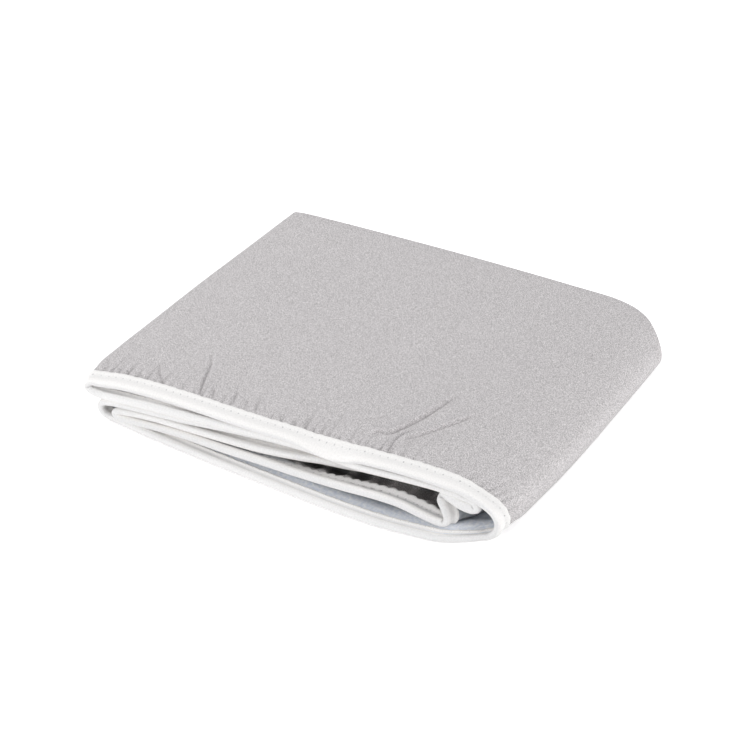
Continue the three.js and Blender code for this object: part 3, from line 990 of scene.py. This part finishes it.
# %% Cloth grain
cloth_grain, given, taken = new_group(
    "cloth_grain",
    {"Vector": "Vector", "Scale": "Float", "Detail": "Float", "Dark": "Color", "Light": "Color",
     "From": "Float", "To": "Float"},
    {"Colour": "Color", "Height": "Float"},
)
noise = new_node(cloth_grain, "TexNoise", **{name: given[name] for name in ("Vector", "Scale", "Detail")})
spread = new_node(cloth_grain, "MapRange", Value=noise.outputs["Fac"])
fill(cloth_grain, spread, {"From Min": given["From"], "From Max": given["To"]})
threads = mix_colour(cloth_grain, "MIX", spread.outputs["Result"], given["Dark"], given["Light"])
join(cloth_grain, threads, taken["Colour"])
join(cloth_grain, noise.outputs["Fac"], taken["Height"])

# %% [markdown]
# ### Hollows
#
# Soft lamps alone leave deep puckers and pockets too pale. Cloth, felt and tape carry a shade value
# at their points, and this group darkens the colour there.

# %% Hollow shade
hollow_shade, given, taken = new_group(
    "hollow_shade",
    {"Colour": "Color", "Shade": "Float", "Amount": "Float", "Deepest": "Color"}, {"Colour": "Color"},
)
depth_of_shade = math_node(hollow_shade, "MULTIPLY", given["Shade"], given["Amount"])
darker = mix_colour(hollow_shade, "MULTIPLY", depth_of_shade, given["Colour"], given["Deepest"])
join(hollow_shade, darker, taken["Colour"])

# %% [markdown]
# ### Needle holes
#
# Between two stitches the needle leaves a small dark hole. The tape's UV map runs along the rim in
# metres, so the distance to the nearest hole is plain arithmetic.

# %% Needle holes
HOLE_RIM = 1.6
needle_holes, given, taken = new_group(
    "needle_holes",
    {"Vector": "Vector", "Pitch": "Float", "Inset": "Float", "Radius": "Float"}, {"Hole": "Float"},
)
hole_math = partial(math_node, needle_holes)
split = new_node(needle_holes, "SeparateXYZ", Vector=given["Vector"])
turns = hole_math("DIVIDE", split.outputs["X"], given["Pitch"])
nearest = hole_math("FRACT", hole_math("ADD", turns, 0.5))
along = hole_math("MULTIPLY", hole_math("SUBTRACT", nearest, 0.5), given["Pitch"])
aside = hole_math("SUBTRACT", split.outputs["Y"], given["Inset"])
square = hole_math("ADD", hole_math("MULTIPLY", along, along), hole_math("MULTIPLY", aside, aside))
radii = hole_math("DIVIDE", hole_math("SQRT", square), given["Radius"])
inside = hole_math("SUBTRACT", HOLE_RIM, radii)
inside.node.use_clamp = True
join(needle_holes, inside, taken["Hole"])

# %% [markdown]
# ### The four finishes
#
# A cloth's finish is a shader with its roughness, a grain, the shade of the hollows and a fine bump.

# %% Material parts


def new_material(name, roughness):
    """A material with its tree and its shader."""
    material = bpy.data.materials.new(name)
    material.use_nodes = True
    shader = material.node_tree.nodes["Principled BSDF"]
    shader.inputs["Roughness"].default_value = roughness
    print("material", name, "roughness", roughness)
    return material, material.node_tree, shader


def cloth_coordinates(tree):
    """Places on the flat cloth, from the mesh's own UV map."""
    node = new_node(tree, "UVMap")
    node.uv_map = "cloth"
    return node.outputs["UV"]


def object_coordinates(tree):
    """Places in the object's own frame."""
    return new_node(tree, "TexCoord").outputs["Object"]


def darken_hollows(tree, shader, colour, amount, deepest):
    """Feeds the shader's colour through the hollow shade of the mesh."""
    value = new_node(tree, "Attribute")
    value.attribute_name = "shade"
    made = place_group(
        tree, hollow_shade, Colour=colour, Shade=value.outputs["Fac"], Amount=amount, Deepest=(*deepest, 1)
    )
    join(tree, made["Colour"], shader.inputs["Base Color"])


def add_bump(tree, shader, height, strength, distance):
    """Lets the grain's height tilt the surface a little."""
    bump = new_node(tree, "Bump", Strength=strength, Distance=distance, Height=height)
    join(tree, bump.outputs["Normal"], shader.inputs["Normal"])


print("shade on", [p.name for p in (face_cloth, felt, tape) if "shade" in p.data.attributes])

# %% [markdown]
# The silver coat is a thin metal film on cotton, so it is a little metallic and quite rough, with a
# fine sparkle. Its noise is turned askew, because noise in line with a flat cloth shows its lattice.

# %% Silver cotton
GRAIN_TURN = (0.6, 0.35, 0.9)
silver_cotton, tree, shader = new_material("silver_cotton", 0.78)
shader.inputs["Metallic"].default_value = 0.2
tilted = new_node(tree, "Mapping", Rotation=GRAIN_TURN, Vector=object_coordinates(tree))
grain = place_group(
    tree, cloth_grain, Vector=tilted.outputs["Vector"], Scale=1450, Detail=3,
    Dark=(0.368, 0.348, 0.348, 1), Light=(0.832, 0.801, 0.802, 1), From=0.36, To=0.64,
)
darken_hollows(tree, shader, grain["Colour"], amount=0.5, deepest=(0.3, 0.3, 0.3))
add_bump(tree, shader, grain["Height"], strength=0.35, distance=0.0003)
face_cloth.data.materials.append(silver_cotton)

# %% [markdown]
# Needle felt is a mat of loose fibres: fully rough, and cool against the warm white tape. Hair would
# be truer, but deep in the gaps coarse noise is enough.

# %% Needle felt
needle_felt, tree, shader = new_material("needle_felt", 1.0)
grain = place_group(
    tree, cloth_grain, Vector=cloth_coordinates(tree), Scale=380, Detail=5,
    Dark=(0.72, 0.77, 0.865, 1), Light=(0.975, 0.985, 1.0, 1), From=0.3, To=0.7,
)
darken_hollows(tree, shader, grain["Colour"], amount=0.85, deepest=(0.3, 0.3, 0.3))
add_bump(tree, shader, grain["Height"], strength=0.6, distance=0.0008)
felt.data.materials.append(needle_felt)

# %% [markdown]
# The tape is white cotton with needle holes on each side. A slow noise makes some of them fainter.

# %% White tape
FACE_HOLE = 0.5
FELT_HOLE = 0.25
HOLE_COLOUR = (0.2, 0.2, 0.21, 1)
white_tape, tree, shader = new_material("white_tape", 0.9)
vector = cloth_coordinates(tree)
grain = place_group(
    tree, cloth_grain, Vector=vector, Scale=900, Detail=4,
    Dark=(0.86, 0.842, 0.823, 1), Light=(0.97, 0.95, 0.93, 1), From=0.3, To=0.7,
)
marks = [
    place_group(
        tree, needle_holes, Vector=vector, Pitch=pitch * MM, Inset=inset * MM, Radius=radius * MM
    )["Hole"]
    for inset, radius in ((STITCH_INSET, FACE_HOLE), (FELT_SIDE_V - STITCH_INSET, FELT_HOLE))
]
uneven = new_node(tree, "TexNoise", Vector=vector, Scale=160, Detail=1)
faint = math_node(tree, "POWER", uneven.outputs["Fac"], 1.6)
holed = math_node(tree, "MULTIPLY", math_node(tree, "MAXIMUM", *marks), faint)
punched = mix_colour(tree, "MIX", holed, grain["Colour"], HOLE_COLOUR)
darken_hollows(tree, shader, punched, amount=0.55, deepest=(0.25, 0.3, 0.37))
add_bump(tree, shader, grain["Height"], strength=0.2, distance=0.0002)
tape.data.materials.append(white_tape)

# %% [markdown]
# Spun thread has a fine grain of its own, and is too thin for a bump to show.

# %% White thread
white_thread, tree, shader = new_material("white_thread", 0.7)
grain = place_group(
    tree, cloth_grain, Vector=object_coordinates(tree), Scale=2400, Detail=2,
    Dark=(0.78, 0.765, 0.75, 1), Light=(0.92, 0.9, 0.88, 1), From=0.3, To=0.7,
)
join(tree, grain["Colour"], shader.inputs["Base Color"])
for piece in (needle_row, bobbin_row):
    piece.data.materials.append(white_thread)

# %% [markdown]
# ## Floor, light and background
#
# The photograph is a cut-out on pure white. A white floor catches a breath of shadow, and it glows
# for the camera alone, so that it reads as white and throws no extra light on the pad. A brighter
# lamp would wash the silver out.

# %% Floor
FLOOR_SIZE = 8.0
FLOOR_Z = -0.0006
FLOOR_GLOW = 0.45


def camera_only(tree, others, camera_sees):
    """A mix of two shaders: one for the camera's rays, and one for all others."""
    light_path = new_node(tree, "LightPath")
    mixed = new_node(tree, "MixShader", Fac=light_path.outputs["Is Camera Ray"])
    join(tree, others, mixed.inputs[1])
    join(tree, camera_sees, mixed.inputs[2])
    return mixed.outputs["Shader"]


def glow(tree, strength):
    """A plain white glow."""
    return new_node(tree, "Emission", Strength=strength).outputs["Emission"]


bpy.ops.mesh.primitive_plane_add(size=FLOOR_SIZE, location=(0, 0, FLOOR_Z))
floor = bpy.context.object
floor.name = "floor"
floor_white, tree, shader = new_material("floor_white", 1.0)
shader.inputs["Base Color"].default_value = (0.93, 0.93, 0.93, 1)
both = new_node(tree, "AddShader")
join(tree, shader.outputs["BSDF"], both.inputs[0])
join(tree, camera_only(tree, glow(tree, 0.0), glow(tree, FLOOR_GLOW)), both.inputs[1])
join(tree, both.outputs["Shader"], tree.nodes["Material Output"].inputs["Surface"])
floor.data.materials.append(floor_white)

# %% [markdown]
# The pad is lit by a dim, slightly blue sky, and the camera sees white.

# %% Background
SKY_COLOUR = (0.96, 0.975, 1.0, 1)
SKY_STRENGTH = 0.43

world = bpy.data.worlds.new("studio")
world.use_nodes = True
tree = world.node_tree
sky = fill(tree, tree.nodes["Background"], {"Color": SKY_COLOUR, "Strength": SKY_STRENGTH})
backdrop = new_node(tree, "Background", Color=(1, 1, 1, 1), Strength=1.0)
seen = camera_only(tree, sky.outputs["Background"], backdrop.outputs["Background"])
join(tree, seen, tree.nodes["World Output"].inputs["Surface"])
scene.world = world
print("sky strength", SKY_STRENGTH)

# %% [markdown]
# Four big soft boxes stand in for the studio's lamps: overhead, left back, front and right. They give
# soft edges of shade, where a sun lamp would draw hard lines in the puckers.

# %% Lamps


def soft_box(name, place, aim, size, power):
    """A square area lamp that looks at a point."""
    light = bpy.data.lights.new(name, "AREA")
    light.energy = power
    light.size = size
    lamp = bpy.data.objects.new(name, light)
    lamp.location = place
    direction = np.array(aim) - np.array(place)
    flat = math.hypot(direction[0], direction[1])
    lamp.rotation_euler = (
        math.atan2(flat, -direction[2]), 0, math.atan2(direction[1], direction[0]) - math.pi / 2
    )
    scene.collection.objects.link(lamp)
    print("lamp", name, "watts", power)


soft_box("overhead", (0.3, -0.3, 2.2), (0, 0, 0), 2.0, 3.6)
soft_box("key", (-1.5, 0.5, 1.7), (0, 0, 0.02), 1.2, 19)
soft_box("front", (-0.9, -2.2, 0.6), (0, 0, 0.02), 1.3, 29)
soft_box("right", (2.1, 0.3, 0.75), (0, 0, 0.02), 1.6, 28)

# %% [markdown]
# ## What each piece stands for
#
# Each piece rides on a body and replaces a solid of the imported part, which is hidden.

for piece, node, slot in (
    (face_cloth, "face_cloth", "coated_cotton"),
    (felt, "felt_padding", "felt"),
    (tape, "edge_binding", "binding_tape"),
    (needle_row, "needle_thread", "sewing_thread"),
    (bobbin_row, "bobbin_thread", "sewing_thread"),
):
    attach(piece, "root")
    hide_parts(node)
